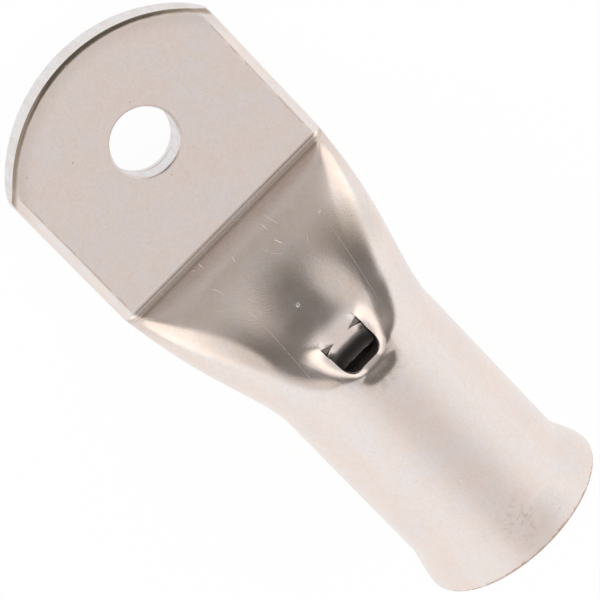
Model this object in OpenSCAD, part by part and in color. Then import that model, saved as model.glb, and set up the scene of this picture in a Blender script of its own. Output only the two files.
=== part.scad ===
// Copper tube lug, one piece of tin-plated tube.
// One end is pressed flat into a palm with a stud hole, the other end stays a
// round barrel with a flared mouth. A tongue lanced from the shoulder bends
// down into the bore and stops the cable, and leaves an inspection window.
// The origin is the centre of the stud hole on the underside of the palm,
// +X runs along the barrel to its mouth and +Z is up.

/* [Tube] */
// Outside diameter of the barrel
barrel_od = 28; // [25:0.5:32]
// Wall thickness of the tube
wall = 2.3; // [1.8:0.1:2.8]
// Length of the round barrel, from the shoulder to the mouth
barrel_len = 36.4; // [24:0.2:60]

/* [Bell mouth] */
// Outside diameter of the flared mouth
bell_od = 31.3; // [29:0.1:34]
// Length over which the mouth flares
bell_len = 6.8; // [5:0.2:10]
// Thickness of the flared wall at the mouth
lip_t = 1.9; // [1.4:0.1:2.2]
// Rounding of the mouth's outer edge
lip_round = 0.8; // [0.3:0.1:1.2]

/* [Palm] */
// Width over the folded edges of the palm
palm_w = 40.4; // [36:0.2:46]
// Diameter of the stud hole
stud_d = 10.5; // [6.5:0.1:13]
// Distance from the stud hole to the tip of the palm
tip_reach = 17.4; // [14:0.2:22]
// Radius of the arc that ends the palm
tip_r = 24.8; // [22:0.2:40]
// Distance from the stud hole to the fold
fold_x = 18.2; // [14:0.2:30]
// Depth of the rounding that the die leaves on the cut edges
die_roll = 0.35; // [0.1:0.05:0.6]
// Width of that rounding
die_roll_w = 0.8; // [0.3:0.1:1.2]
// Depth of the crease pressed along the fold
crease_depth = 0.15; // [0.05:0.05:0.3]
// Radius of the crease
crease_r = 0.6; // [0.4:0.1:1]
// Height of the seam between the two pressed walls, seen at the cut end
seam_t = 0.2; // [0.1:0.05:0.3]
// Depth of that seam
seam_depth = 0.5; // [0.2:0.1:1]

/* [Shoulder] */
// Length of the shoulder, from the fold to the round barrel
shoulder_len = 25.8; // [20:0.2:36]
// Depth of the valley between the two ridges, at the window
valley_depth = 4.2; // [1:0.1:5]
// Half width of the valley where it starts, near the fold
valley_wide = 14.5; // [12:0.5:17]
// Half width of the valley at the window
valley_narrow = 12; // [9:0.5:12.5]
// Distance from the fold to the start of the valley
valley_start = 3.4; // [1:0.2:8]
// Depth of the dent left behind the window
dent_depth = 1.2; // [0:0.1:1.6]

/* [Window and tongue] */
// Width of the window
window_w = 7; // [5:0.2:8.4]
// Length of the window, measured along the barrel
window_len = 4.3; // [3.4:0.1:5.4]
// Distance from the window to the round barrel
window_gap = 3.7; // [2.6:0.1:5]
// Corner radius on the barrel side of the window
window_r = 0.9; // [0.4:0.1:1.4]
// Size of the two torn corners beside the root of the tongue
notch = 0.9; // [0.4:0.1:1.2]
// Length of the tongue along its curve
tongue_len = 6.8; // [5:0.1:8]
// Angle between the root and the tip of the tongue
tongue_bend = 62; // [45:1:80]
// Slope of the tongue at its root, up from the palm plane
tongue_rise = 12; // [5:1:20]
// Corner radius of the tongue's tip
tongue_r = 1.1; // [0.5:0.1:1.6]
// Gap that the shear leaves on each side of the tongue
shear_gap = 0.12; // [0.05:0.01:0.2]

/* [Hidden] */
$fn = 96;

plate_colour = [0.80, 0.76, 0.73];
barrel_r = barrel_od / 2;
palm_t = 2 * wall;
barrel_x = fold_x + shoulder_len;
mouth_x = barrel_x + barrel_len;
tip_cx = tip_r - tip_reach;
window_x2 = barrel_x - window_gap;
window_x1 = window_x2 - window_len;
lap = 1;

// A lapped end sinks by tuck below the surface that it joins, and stands
// proud by lift where it leaves that surface
tuck = 0.4;
lift = 0.06;

// Stations along the shoulder and steps round its section
steps = 32;
top_steps = 12;
side_steps = 16;
under_steps = 4;
flat_angle = 18;

// Value at t of the curve drawn by five control values
function curve(t, c) =
    c[0] * pow(1 - t, 4)
    + 4 * c[1] * t * pow(1 - t, 3)
    + 6 * c[2] * pow(t, 2) * pow(1 - t, 2)
    + 4 * c[3] * pow(t, 3) * (1 - t)
    + c[4] * pow(t, 4);

function limit(v) = min(max(v, 0), 1);
function ease(v) = limit(v) * limit(v) * (3 - 2 * limit(v));
function along(x) = limit((x - fold_x) / shoulder_len);

// Half width of the shoulder: nearly straight from the fold, then drawn in
function half_width(x) =
    palm_w / 2 - (palm_w / 2 - barrel_r) * curve(along(x), [0, 0.19, 0.31, 1, 1]);

// Height of the shoulder before the valley is pressed into it
function height(x) =
    palm_t + (barrel_od - palm_t) * curve(along(x), [0, 0.54, 0.67, 0.99, 1]);

function rise(x) = (height(x + 0.05) - height(x - 0.05)) / 0.1;

// Depth of the valley at its centre: it deepens evenly up to the window and
// fades quickly behind it, where a shallow dent stays
function valley(x) =
    x < window_x1
    ? valley_depth * limit((x - fold_x - valley_start)
        / (window_x1 - fold_x - valley_start))
    : dent_depth * (1 - ease((x - window_x2) / window_gap))
        + (valley_depth - dent_depth) * (1 - ease((x - window_x1) / window_len));

// Half width of the valley and of its flat floor
function valley_half(x) =
    valley_wide + (valley_narrow - valley_wide) * limit((x - fold_x) / (window_x1 - fold_x));
function floor_half(x) = window_w / 4 * ease((x - window_x1 + 7) / 6);

// Share of the valley's depth that is felt at a distance y from the centre
function felt(x, y) =
    pow(cos(90 * limit((abs(y) - floor_half(x)) / (valley_half(x) - floor_half(x)))), 3);

// Angles round a section, close together over the top where the valley lies
function spread(a, b, n) = [for (i = [0 : n - 1]) a + (b - a) * i / n];
section_angles = concat(
    spread(90 - flat_angle, 90 + flat_angle, top_steps),
    spread(90 + flat_angle, 270 - flat_angle, side_steps),
    spread(270 - flat_angle, 270 + flat_angle, under_steps),
    spread(270 + flat_angle, 450 - flat_angle, side_steps)
);

// Section of the shoulder: two round sides of radius r, spread apart by the
// flat above and below. The valley lowers the top.
function section(x, half, low, high, sink) =
    let (r = (high - low) / 2, flat = max(half - r, 0))
    [for (a = section_angles)
        let (
            side = max(min(cos(a) / sin(flat_angle), 1), -1),
            y = flat * side + min(r, half) * cos(a),
            z = low + r + r * sin(a)
        )
        [x, y, z - (sin(a) > 0 ? sink * felt(x, y) * limit(sin(a) * 3) : 0)]
    ];

// Skin through a list of sections with the same number of points
module loft(rings) {
    n = len(rings[0]);
    last = len(rings) - 1;
    polyhedron(
        points = [for (ring = rings) for (p = ring) p],
        faces = concat(
            [[for (i = [0 : n - 1]) i]],
            [[for (i = [n - 1 : -1 : 0]) last * n + i]],
            [for (k = [0 : last - 1]) for (i = [0 : n - 1])
                [k * n + i, (k + 1) * n + i, k * n + (i + 1) % n]],
            [for (k = [0 : last - 1]) for (i = [0 : n - 1])
                [k * n + (i + 1) % n, (k + 1) * n + i, (k + 1) * n + (i + 1) % n]]
        ),
        convexity = 6
    );
}

// Outer form of the shoulder, lapped into the palm and the barrel
module shoulder_outside() {
    root = section(fold_x - lap, palm_w / 2 - tuck, tuck, palm_t - tuck, 0);
    body = [for (i = [0 : steps])
        let (
            x = fold_x + shoulder_len * i / steps,
            out = i == 0 || i == steps ? lift : 0
        )
        section(x, half_width(x) + out, -out, height(x) + out, valley(x))];
    tail = section(barrel_x + lap, barrel_r - tuck, tuck, barrel_od - tuck, 0);
    loft(concat([root], body, [tail]));
}

// Hollow of the shoulder: the wall stays one thickness on its sloping top
module shoulder_hollow() {
    first = fold_x + 1.4;
    body = [for (i = [0 : steps - 2])
        let (
            x = first + (barrel_x - first) * i / (steps - 2),
            slope = rise(x),
            top = height(x) - wall * sqrt(1 + slope * slope),
            out = i == steps - 2 ? lift : 0
        )
        section(x, half_width(x) - wall + out, wall - out, max(top, wall + 0.3) + out, valley(x))];
    tail = section(barrel_x + lap, barrel_r - wall - tuck, wall + tuck, barrel_od - wall - tuck, 0);
    loft(concat(body, [tail]));
}

// Folded section of the palm
module palm_section() {
    square([palm_w - palm_t, palm_t], center = true);
    for (side = [-1, 1])
        translate([side * (palm_w - palm_t) / 2, 0])
            circle(d = palm_t);
}

// Edge that the die leaves: square below and rolled over above
module rolled_edge(r, t, roll, roll_w) {
    polygon(concat(
        [[0, -1], [r, -1]],
        [for (a = [0 : 15 : 90]) [r - roll_w * (1 - cos(a)), t - roll * (1 - sin(a))]],
        [[r - roll_w, t + 1], [0, t + 1]]
    ));
}

module palm() {
    intersection() {
        translate([-tip_reach - 1, 0, palm_t / 2])
            rotate([90, 0, 90])
                linear_extrude(tip_reach + 1 + fold_x)
                    palm_section();
        translate([tip_cx, 0, 0])
            rotate_extrude($fn = 180)
                rolled_edge(tip_r, palm_t, die_roll, die_roll_w);
    }
}

// Line between the two pressed walls, along the cut end only
module seam() {
    cut_w = palm_w - palm_t;
    intersection() {
        translate([tip_cx, 0, palm_t / 2 - seam_t / 2])
            difference() {
                cylinder(r = tip_r + 1, h = seam_t, $fn = 180);
                translate([0, 0, -1])
                    cylinder(r = tip_r - seam_depth, h = seam_t + 2, $fn = 180);
            }
        translate([-tip_reach - 1, -cut_w / 2, 0])
            cube([tip_reach + 1, cut_w, palm_t]);
    }
}

module crease() {
    translate([fold_x - crease_r / 2, 0, palm_t + crease_r - crease_depth])
        rotate([90, 0, 0])
            cylinder(r = crease_r, h = palm_w + 2, center = true);
}

// Stud hole with the rolled edge that the punch leaves on top
module stud_hole() {
    translate([0, 0, -1])
        cylinder(d = stud_d, h = palm_t + 2);
    translate([0, 0, palm_t - die_roll])
        cylinder(d1 = stud_d, d2 = stud_d + 2 * die_roll + 0.02, h = die_roll + 0.01);
}

// Outline of the flare: one arc swings out and one arc swings back level
function flare(x0, r0, r1, n) =
    let (
        climb = (r1 - r0) / 2,
        run = bell_len / 2,
        bend_r = (run * run + climb * climb) / (2 * climb),
        turn = asin(run / bend_r)
    )
    concat(
        [for (i = [0 : n])
            [x0 + bend_r * sin(turn * i / n), r0 + bend_r * (1 - cos(turn * i / n))]],
        [for (i = [n - 1 : -1 : 0])
            [x0 + bell_len - bend_r * sin(turn * i / n), r1 - bend_r * (1 - cos(turn * i / n))]]
    );

// Half profile of a round body with a flared end, x along the axis
module barrel_profile(r0, r1, x0, x1, edge) {
    outline = flare(x1 - bell_len, r0, r1, 6);
    keep = [for (p = outline) if (p[0] < x1 - edge - 0.01) p];
    polygon(concat(
        [[x0, 0], [x0, r0]],
        keep,
        [for (a = [0 : 15 : 90]) [x1 - edge * (1 - sin(a)), r1 - edge * (1 - cos(a))]],
        [[x1, 0]]
    ));
}

module about_axis() {
    translate([0, 0, barrel_r])
        rotate([0, 90, 0])
            rotate([0, 0, 90])
                rotate_extrude()
                    mirror([1, -1])
                        children();
}

module barrel_outside() {
    about_axis()
        barrel_profile(barrel_r, bell_od / 2, barrel_x, mouth_x, lip_round);
}

module barrel_hollow() {
    inner = barrel_r - wall;
    outline = flare(mouth_x - bell_len, inner, bell_od / 2 - lip_t, 6);
    about_axis()
        polygon(concat(
            [[barrel_x, 0], [barrel_x, inner]],
            outline,
            [[mouth_x + 1, bell_od / 2 - lip_t], [mouth_x + 1, 0]]
        ));
}

// Plan of the window: rounded towards the barrel, torn at the tongue's root
module window_plan() {
    half = window_w / 2;
    polygon(concat(
        [[window_x1, -half + notch * 0.4], [window_x1, half - notch * 0.4]],
        [[window_x1 - notch, half + notch * 0.25], [window_x1 + notch * 0.6, half]],
        [for (a = [90 : -15 : 0])
            [window_x2 - window_r * (1 - cos(a)), half - window_r * (1 - sin(a))]],
        [for (a = [0 : -15 : -90])
            [window_x2 - window_r * (1 - cos(a)), -half + window_r * (1 + sin(a))]],
        [[window_x1 + notch * 0.6, -half], [window_x1 - notch, -half - notch * 0.25]]
    ));
}

module window() {
    low = height(window_x1) - valley_depth - 2 * wall;
    translate([0, 0, low])
        linear_extrude(barrel_od)
            window_plan();
}

// Points along the tongue's upper face, offset down by d
root_z = height(window_x1) - valley_depth;
bend_step = tongue_bend / 10;
function tongue_angle(i) = tongue_rise - bend_step * i;
function tongue_x(i) = i <= 0 ? window_x1 : tongue_x(i - 1) + tongue_len / 10 * cos(tongue_angle(i - 0.5));
function tongue_z(i) = i <= 0 ? root_z : tongue_z(i - 1) + tongue_len / 10 * sin(tongue_angle(i - 0.5));
function tongue_point(i, d) =
    [tongue_x(i) - d * sin(-tongue_angle(i)), tongue_z(i) - d * cos(tongue_angle(i))];

module tongue_side() {
    root_x = window_x1 - lap;
    drop = lap * tan(tongue_rise);
    polygon(concat(
        [[root_x, root_z - drop - 0.5]],
        [for (i = [0 : 10]) tongue_point(i, 0)],
        [for (i = [10 : -1 : 0]) tongue_point(i, wall)],
        [[root_x, root_z - drop - wall + 0.1]]
    ));
}

module tongue_plan() {
    half = window_w / 2 - shear_gap;
    tip = tongue_x(10) + 0.4;
    polygon(concat(
        [[window_x1 - lap, -half + notch * 0.4], [window_x1 - lap, half - notch * 0.4]],
        [[window_x1, half - notch * 0.4], [window_x1 + notch * 0.6, half]],
        [for (a = [90 : -15 : 0]) [tip - tongue_r * (1 - cos(a)), half - tongue_r * (1 - sin(a))]],
        [for (a = [0 : -15 : -90]) [tip - tongue_r * (1 - cos(a)), -half + tongue_r * (1 + sin(a))]],
        [[window_x1 + notch * 0.6, -half], [window_x1, -half + notch * 0.4]]
    ));
}

// Tongue lanced from the shoulder and bent down as the cable stop
module tongue() {
    intersection() {
        rotate([90, 0, 0])
            linear_extrude(window_w, center = true)
                tongue_side();
        linear_extrude(barrel_od)
            tongue_plan();
    }
}

module tube_lug() {
    color(plate_colour) {
        difference() {
            union() {
                palm();
                shoulder_outside();
                barrel_outside();
            }
            barrel_hollow();
            shoulder_hollow();
            window();
            stud_hole();
            crease();
            seam();
        }
        tongue();
    }
}

tube_lug();
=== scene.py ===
"""Tin-plated copper tube lug: skin, lanced tongue, metal finish and studio.

The palm, shoulder, barrel and bell mouth are one continuous wall, so they are
one mesh here too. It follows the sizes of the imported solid, in metres, with a
few small forms drawn closer to the photograph.
"""
import logging
import math
from dataclasses import dataclass, field
from enum import Enum
from functools import reduce

import bmesh
import bpy
import numpy as np
from mathutils import Matrix, Vector, noise


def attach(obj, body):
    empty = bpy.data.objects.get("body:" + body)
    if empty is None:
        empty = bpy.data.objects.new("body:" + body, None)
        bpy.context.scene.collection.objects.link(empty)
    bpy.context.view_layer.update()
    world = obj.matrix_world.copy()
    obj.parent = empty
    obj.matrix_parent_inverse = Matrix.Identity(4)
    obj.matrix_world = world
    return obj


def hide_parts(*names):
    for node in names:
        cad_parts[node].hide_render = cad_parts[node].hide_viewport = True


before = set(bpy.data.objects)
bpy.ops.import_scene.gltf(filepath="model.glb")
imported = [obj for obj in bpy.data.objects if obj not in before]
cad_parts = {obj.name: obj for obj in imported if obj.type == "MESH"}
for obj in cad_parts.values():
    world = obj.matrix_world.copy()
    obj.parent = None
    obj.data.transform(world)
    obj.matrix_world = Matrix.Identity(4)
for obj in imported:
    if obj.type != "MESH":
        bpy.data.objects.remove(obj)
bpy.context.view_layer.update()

LOG = logging.getLogger("tube_lug")
MM = 0.001
NODE = "tube_lug"
BODY = "root"
Value = bpy.types.NodeSocket | float | tuple[float, ...]


class Surface(Enum):
    """Kinds of surface, in the order of the mesh's materials."""

    PLATE = 0
    CUT = 1
    BORE = 2


def limit(value: np.ndarray | float) -> np.ndarray | float:
    """Holds a value between 0 and 1."""
    return np.clip(value, 0.0, 1.0)


def ease(value: np.ndarray | float) -> np.ndarray | float:
    """Smooth step from 0 to 1."""
    held = limit(value)
    return held * held * (3.0 - 2.0 * held)


def eased_curve(t: float, first: float, second: float, third: float) -> float:
    """Curve from 0 to 1 drawn by three control values between its ends.

    Args:
        t: Place along the curve, 0 to 1.
        first: Control value after the start, which sets the first slope.
        second: Middle control value.
        third: Control value before the end, which sets the last slope.

    Returns:
        The curve's value at t.
    """
    back = 1.0 - t
    return (4.0 * first * t * back ** 3 + 6.0 * second * t ** 2 * back ** 2
            + 4.0 * third * t ** 3 * back + t ** 4)


@dataclass(frozen=True)
class TubeSizes:
    """Driving sizes of the lug.

    They are those of the solid, apart from the depth of the dent, the rounding
    of the window and the length of the tongue.
    """

    barrel_od: float = 28.0 * MM
    wall: float = 2.3 * MM
    barrel_len: float = 36.4 * MM
    bell_od: float = 31.3 * MM
    bell_len: float = 6.8 * MM
    lip_t: float = 1.9 * MM
    lip_round: float = 0.8 * MM
    palm_w: float = 40.4 * MM
    stud_d: float = 10.5 * MM
    tip_reach: float = 17.4 * MM
    tip_r: float = 24.8 * MM
    fold_x: float = 18.2 * MM
    die_roll: float = 0.35 * MM
    die_roll_w: float = 0.8 * MM
    crease_depth: float = 0.15 * MM
    seam_depth: float = 0.35 * MM
    seam_w: float = 0.16 * MM
    shoulder_len: float = 25.8 * MM
    valley_depth: float = 4.2 * MM
    valley_wide: float = 14.5 * MM
    valley_narrow: float = 12.0 * MM
    valley_start: float = 3.4 * MM
    dent_depth: float = 0.92 * MM
    window_w: float = 7.0 * MM
    window_len: float = 4.3 * MM
    window_gap: float = 3.7 * MM
    window_r: float = 2.1 * MM
    notch: float = 0.9 * MM
    tongue_len: float = 5.75 * MM
    tongue_bend: float = math.radians(62.0)
    tongue_rise: float = math.radians(12.0)
    tongue_r: float = 1.1 * MM
    shear_gap: float = 0.12 * MM

    @property
    def barrel_r(self) -> float:
        """Outside radius of the barrel."""
        return self.barrel_od / 2

    @property
    def palm_t(self) -> float:
        """Thickness of the palm, two walls pressed together."""
        return 2 * self.wall

    @property
    def barrel_x(self) -> float:
        """Where the round barrel starts."""
        return self.fold_x + self.shoulder_len

    @property
    def mouth_x(self) -> float:
        """Plane of the mouth."""
        return self.barrel_x + self.barrel_len

    @property
    def bell_x(self) -> float:
        """Where the barrel starts to flare."""
        return self.mouth_x - self.bell_len

    @property
    def tip_cx(self) -> float:
        """Centre of the arc that ends the palm."""
        return self.tip_r - self.tip_reach

    @property
    def window_x2(self) -> float:
        """Barrel side of the window."""
        return self.barrel_x - self.window_gap

    @property
    def window_x1(self) -> float:
        """Palm side of the window, the root of the tongue."""
        return self.window_x2 - self.window_len


@dataclass
class ShoulderForm:
    """Form of the outer face between the palm and the barrel."""

    size: TubeSizes
    root_press: float = 0.3 * MM
    root_press_len: float = 3.0 * MM
    start_early: float = 0.5 * MM
    fade_len: float = 4.7 * MM
    fade_late: float = 0.4 * MM
    fade_early: float = 2.8 * MM
    fade_stretch: float = 1.2 * MM
    side_from: float = 0.8 * MM
    side_over: float = 5.2 * MM
    widened: float = 1.0 * MM
    narrowed: float = 1.8 * MM
    narrow_before: float = 3.3 * MM
    narrow_len: float = 7.6 * MM
    floor_half: float = 0.8 * MM
    floor_before: float = 6.3 * MM
    floor_len: float = 6.0 * MM
    flank_power: float = 2.7
    rim_w: float = 0.9 * MM
    rim_drop: float = 0.12
    climb_w: float = 2.2 * MM
    climb_power: float = 2.4
    climb_ease: float = 0.35
    dent_y: float = 0.6 * MM
    dent_flat: float = 1.0 * MM
    dent_side: float = 3.4 * MM
    dent_before: float = 2.0 * MM
    soft_share: float = 0.62
    soft_from: float = 0.4 * MM
    soft_over: float = 3.3 * MM

    def along(self, x: float) -> float:
        """Place along the shoulder, 0 at the fold and 1 at the barrel."""
        return float(limit((x - self.size.fold_x) / self.size.shoulder_len))

    def half_width(self, x: float) -> float:
        """Half width of the outline at x."""
        drawn = self.size.palm_w / 2 - self.size.barrel_r
        return self.size.palm_w / 2 - drawn * float(eased_curve(self.along(x), 0.19, 0.31, 1.0))

    def height(self, x: float) -> float:
        """Height of the top at x, before the valley is pressed into it."""
        climb = self.size.barrel_od - self.size.palm_t
        return self.size.palm_t + climb * float(eased_curve(self.along(x), 0.54, 0.67, 0.99))

    def slope(self, x: float) -> float:
        """Slope of the top at x."""
        step = 0.05 * MM
        return (self.height(x + step) - self.height(x - step)) / (2 * step)

    def dish(self, y: np.ndarray) -> np.ndarray:
        """Height of the valley across the tongue's root, above its centre.

        Args:
            y: Places across the root.

        Returns:
            The heights.
        """
        x = self.size.window_x1
        r = self.height(x) / 2
        flat = max(self.half_width(x) - r, 0.0)
        z = r + np.sqrt(r ** 2 - (np.abs(y) * r / (r + flat)) ** 2)
        shape = self.softened(x, y, z) - self.pressed(x, y)
        return shape - float(np.max(shape[np.abs(y) == np.min(np.abs(y))]))

    def softened(self, x: float, y: np.ndarray, z: np.ndarray) -> np.ndarray:
        """Heights round a section, with the ridges beside the valley rounder.

        Args:
            x: Place of the section.
            y: Places across.
            z: Heights of the plain section.

        Returns:
            The heights, changed only in the upper half.
        """
        r = self.height(x) / 2
        half = self.half_width(x)
        power = 2 + 1.8 * (half / r - 1)
        past_fold = x - self.size.fold_x - self.soft_from
        share = self.soft_share * float(ease(past_fold / self.soft_over))
        soft = r + r * np.sqrt(np.maximum(1 - np.abs(y / half) ** power, 0.0))
        return np.where(z > r, z + share * (soft - z), z)

    def pressed(self, x: float, y: np.ndarray) -> np.ndarray:
        """Depth of the valley and of the dent behind the window at each y."""
        return self.valley(x, y) + self.dent(x, y)

    def valley(self, x: float, y: np.ndarray) -> np.ndarray:
        """Depth of the valley, which fades sooner beside the window.

        Args:
            x: Place of the section.
            y: Places across.

        Returns:
            The depths.
        """
        s = self.size
        start = s.fold_x + s.valley_start - self.start_early
        if x < start:
            return np.zeros_like(y)
        past_root = x - s.window_x1
        near = (x - start) / (s.window_x1 - start)
        into = max(past_root / self.root_press_len + 1.0, 0.0)
        deep = (s.valley_depth - self.root_press) * near + self.root_press * into ** 2
        aside = ease((np.abs(y) - self.side_from) / self.side_over)
        early = self.fade_early * aside - self.fade_late
        fade_len = self.fade_len + self.fade_stretch * aside
        deep = deep * (1 - ease((past_root + early) / fade_len))
        along = float(limit((x - s.fold_x) / (s.window_x1 - s.fold_x)))
        half = s.valley_wide + (s.valley_narrow - s.valley_wide) * along + self.widened
        half -= self.narrowed * float(ease((past_root + self.narrow_before) / self.narrow_len))
        floor = self.floor_half * float(ease((past_root + self.floor_before) / self.floor_len))
        flank = limit((np.abs(y) - floor) / (half - floor))
        return deep * np.cos(np.pi / 2 * flank) ** self.flank_power

    def dent(self, x: float, y: np.ndarray) -> np.ndarray:
        """Depth of the dent: a level rim at the window, then a short climb.

        Args:
            x: Place of the section.
            y: Places across.

        Returns:
            The depths.
        """
        behind = x - self.size.window_x2
        rim = float(limit(behind / self.rim_w))
        run = float(limit((behind - self.rim_w) / self.climb_w))
        climb = (self.climb_ease * float(ease(run))
                 + (1 - self.climb_ease) * (1 - (1 - run) ** self.climb_power))
        deep = self.size.dent_depth * (1 - self.rim_drop * rim - (1 - self.rim_drop) * climb)
        deep *= float(ease(behind / self.dent_before + 1))
        flank = limit((np.abs(y - self.dent_y) - self.dent_flat) / self.dent_side)
        return deep * np.cos(np.pi / 2 * flank) ** 2


@dataclass
class LugSkin:
    """The one wall of the lug, outside and inside, from the tip to the mouth."""

    size: TubeSizes = field(default_factory=TubeSizes)
    top_steps: int = 64
    side_steps: int = 32
    tip_rows: int = 14
    crown: float = math.radians(18.0)
    bell_shift: float = 0.5 * MM

    def __post_init__(self) -> None:
        """Prepares the form and the places round a section."""
        self.form = ShoulderForm(self.size)
        across = np.linspace(1.0, -1.0, self.top_steps + 1)[:-1]
        down = np.linspace(0.0, 1.0, self.side_steps + 1)[:-1]
        ones = np.ones(self.side_steps)
        self.spread = np.concatenate([across, -ones, -across, ones])
        self.part = np.repeat([0, 1, 2, 3], [self.top_steps, self.side_steps] * 2)
        self.turn = np.concatenate([across, down, across, down])
        self.count = len(self.spread)

    def section(self, half: float, low: float, high: float,
                coin: float = 0.0) -> tuple[np.ndarray, np.ndarray]:
        """Outline with round sides and flat or crowned top and bottom.

        Args:
            half: Half width.
            low: Height of the underside.
            high: Height of the top.
            coin: Angle at which the round sides meet the pressed faces.

        Returns:
            The y and z values round the outline.
        """
        r = (high - low) / 2
        flat = max(half - r, 0.0)
        bulge = self.crown * r / (r + flat)
        r_side = r * math.cos(bulge) / math.cos(bulge + coin)
        reach = half - r_side + r_side * math.sin(bulge + coin) - r * math.sin(bulge)
        turn = math.pi - 2 * (bulge + coin)
        start = math.pi / 2 + bulge + coin
        angle = np.select(
            [self.part == 0, self.part == 1, self.part == 2],
            [math.pi / 2 - bulge * self.turn, start + turn * self.turn,
             1.5 * math.pi - bulge * self.turn],
            start + math.pi + turn * self.turn)
        pressed = (self.part == 0) | (self.part == 2)
        y = np.where(pressed, reach * self.spread + r * np.cos(angle),
                     (half - r_side) * self.spread + r_side * np.cos(angle))
        z = low + r + np.where(pressed, r, r_side) * np.sin(angle)
        return y, z

    def coining(self, x: float, y_side: float = 0.0) -> float:
        """Angle of the pressed palm's edge at x, a little wavy.

        Args:
            x: Place of the section along the lug.
            y_side: Shift of the wave, so that two edges differ.

        Returns:
            The angle.
        """
        fade = 1.0 - float(ease((x - self.size.fold_x) / (7 * MM)))
        wave = noise.noise(Vector((x * 260.0, y_side, 1.7)))
        return fade * math.radians(23.0 + 5.0 * wave)

    def tip_x(self, y: np.ndarray) -> np.ndarray:
        """Edge of the palm's tip at each y."""
        s = self.size
        return s.tip_cx - np.sqrt(np.maximum(s.tip_r ** 2 - y ** 2, 0.0))

    def palm_ring(self, share: float, end: float) -> np.ndarray:
        """Ring of the palm between its cut arc and a straight section.

        Args:
            share: 0 on the cut arc, 1 on the straight section.
            end: Where the straight section lies.

        Returns:
            Points round the ring.
        """
        s = self.size
        y, z = self.section(s.palm_w / 2, 0.0, s.palm_t, self.coining(end * share))
        edge = self.tip_x(y)
        x = edge + (end - edge) * share
        inside = s.tip_r - np.hypot(x - s.tip_cx, y)
        rolled = limit(1 - inside / (1.15 * s.die_roll_w)) * (x < 0)
        top = limit((z - s.palm_t / 2) / (0.35 * s.palm_t))
        z = z - 1.3 * s.die_roll * rolled ** 1.6 * top
        return np.stack([x, y, z], axis=1)

    def outer_ring(self, x: float) -> np.ndarray:
        """Ring of the outer face at x, past the palm.

        Args:
            x: Place of the section along the lug.

        Returns:
            Points round the ring.
        """
        s = self.size
        if x >= s.barrel_x:
            return self.round_ring(x, self.bell_radius(x, s.barrel_r, s.bell_od / 2))
        y, z = self.section(self.form.half_width(x), 0.0, self.form.height(x), self.coining(x))
        z = self.form.softened(x, y, z)
        top = limit((z / self.form.height(x) - 0.5) * 6)
        z = z - self.form.pressed(x, y) * top
        z = z - self.crease(x) * limit((z - s.palm_t / 2) / (0.4 * s.palm_t))
        return np.stack([np.full_like(y, x), y, z], axis=1)

    def crease(self, x: float) -> float:
        """Depth of the die's mark at the fold: two lines and a ridge between.

        Args:
            x: Place of the section along the lug.

        Returns:
            The depth.
        """
        s = self.size
        marks = ((-0.25, 0.13, 1.0), (0.08, 0.16, -0.45), (0.45, 0.20, 1.3))
        return s.crease_depth * sum(
            share * math.exp(-((x - s.fold_x - place * MM) / (width * MM)) ** 2)
            for place, width, share in marks)

    def inner_ring(self, x: float) -> np.ndarray:
        """Ring of the inner face at x.

        Args:
            x: Place of the section along the lug.

        Returns:
            Points round the ring.
        """
        s = self.size
        if x >= s.barrel_x:
            inside = s.barrel_r - s.wall
            return self.round_ring(x, self.bell_radius(x, inside, s.bell_od / 2 - s.lip_t))
        slope = self.form.slope(x)
        high = max(self.form.height(x) - s.wall * math.hypot(1, slope), s.wall + 0.2 * MM)
        y, z = self.section(self.form.half_width(x) - s.wall, s.wall, high)
        middle = (s.wall + high) / 2
        top = limit((z - middle) / max(high - middle, 1e-6) * 3)
        z = z - np.minimum(self.form.pressed(x, y), max(high - s.wall - 0.1 * MM, 0.0)) * top
        return np.stack([np.full_like(y, x), y, z], axis=1)

    def round_ring(self, x: float, r: float) -> np.ndarray:
        """Circle of radius r round the barrel's axis.

        Args:
            x: Place of the section along the lug.
            r: Radius of the circle.

        Returns:
            Points round the ring.
        """
        s = self.size
        y, z = self.section(r, s.barrel_r - r, s.barrel_r + r)
        y = y + self.bell_shift * float(ease((x - s.bell_x) / s.bell_len))
        return np.stack([np.full_like(y, x), y, z], axis=1)

    def bell_radius(self, x: float, start: float, end: float) -> float:
        """Radius of a face that flares from start to end over the bell.

        Args:
            x: Place of the section along the lug.
            start: Radius before the bell.
            end: Radius at the mouth.

        Returns:
            The radius.
        """
        s = self.size
        into = float(limit((x - s.bell_x) / s.bell_len))
        bend_in, bend_out = 0.15, 0.35
        slope = 1 / (1 - (bend_in + bend_out) / 2)
        if into < bend_in:
            share = slope * into ** 2 / (2 * bend_in)
        elif into < 1 - bend_out:
            share = slope * (into - bend_in / 2)
        else:
            share = 1 - slope * (1 - into) ** 2 / (2 * bend_out)
        return start + (end - start) * share

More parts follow.
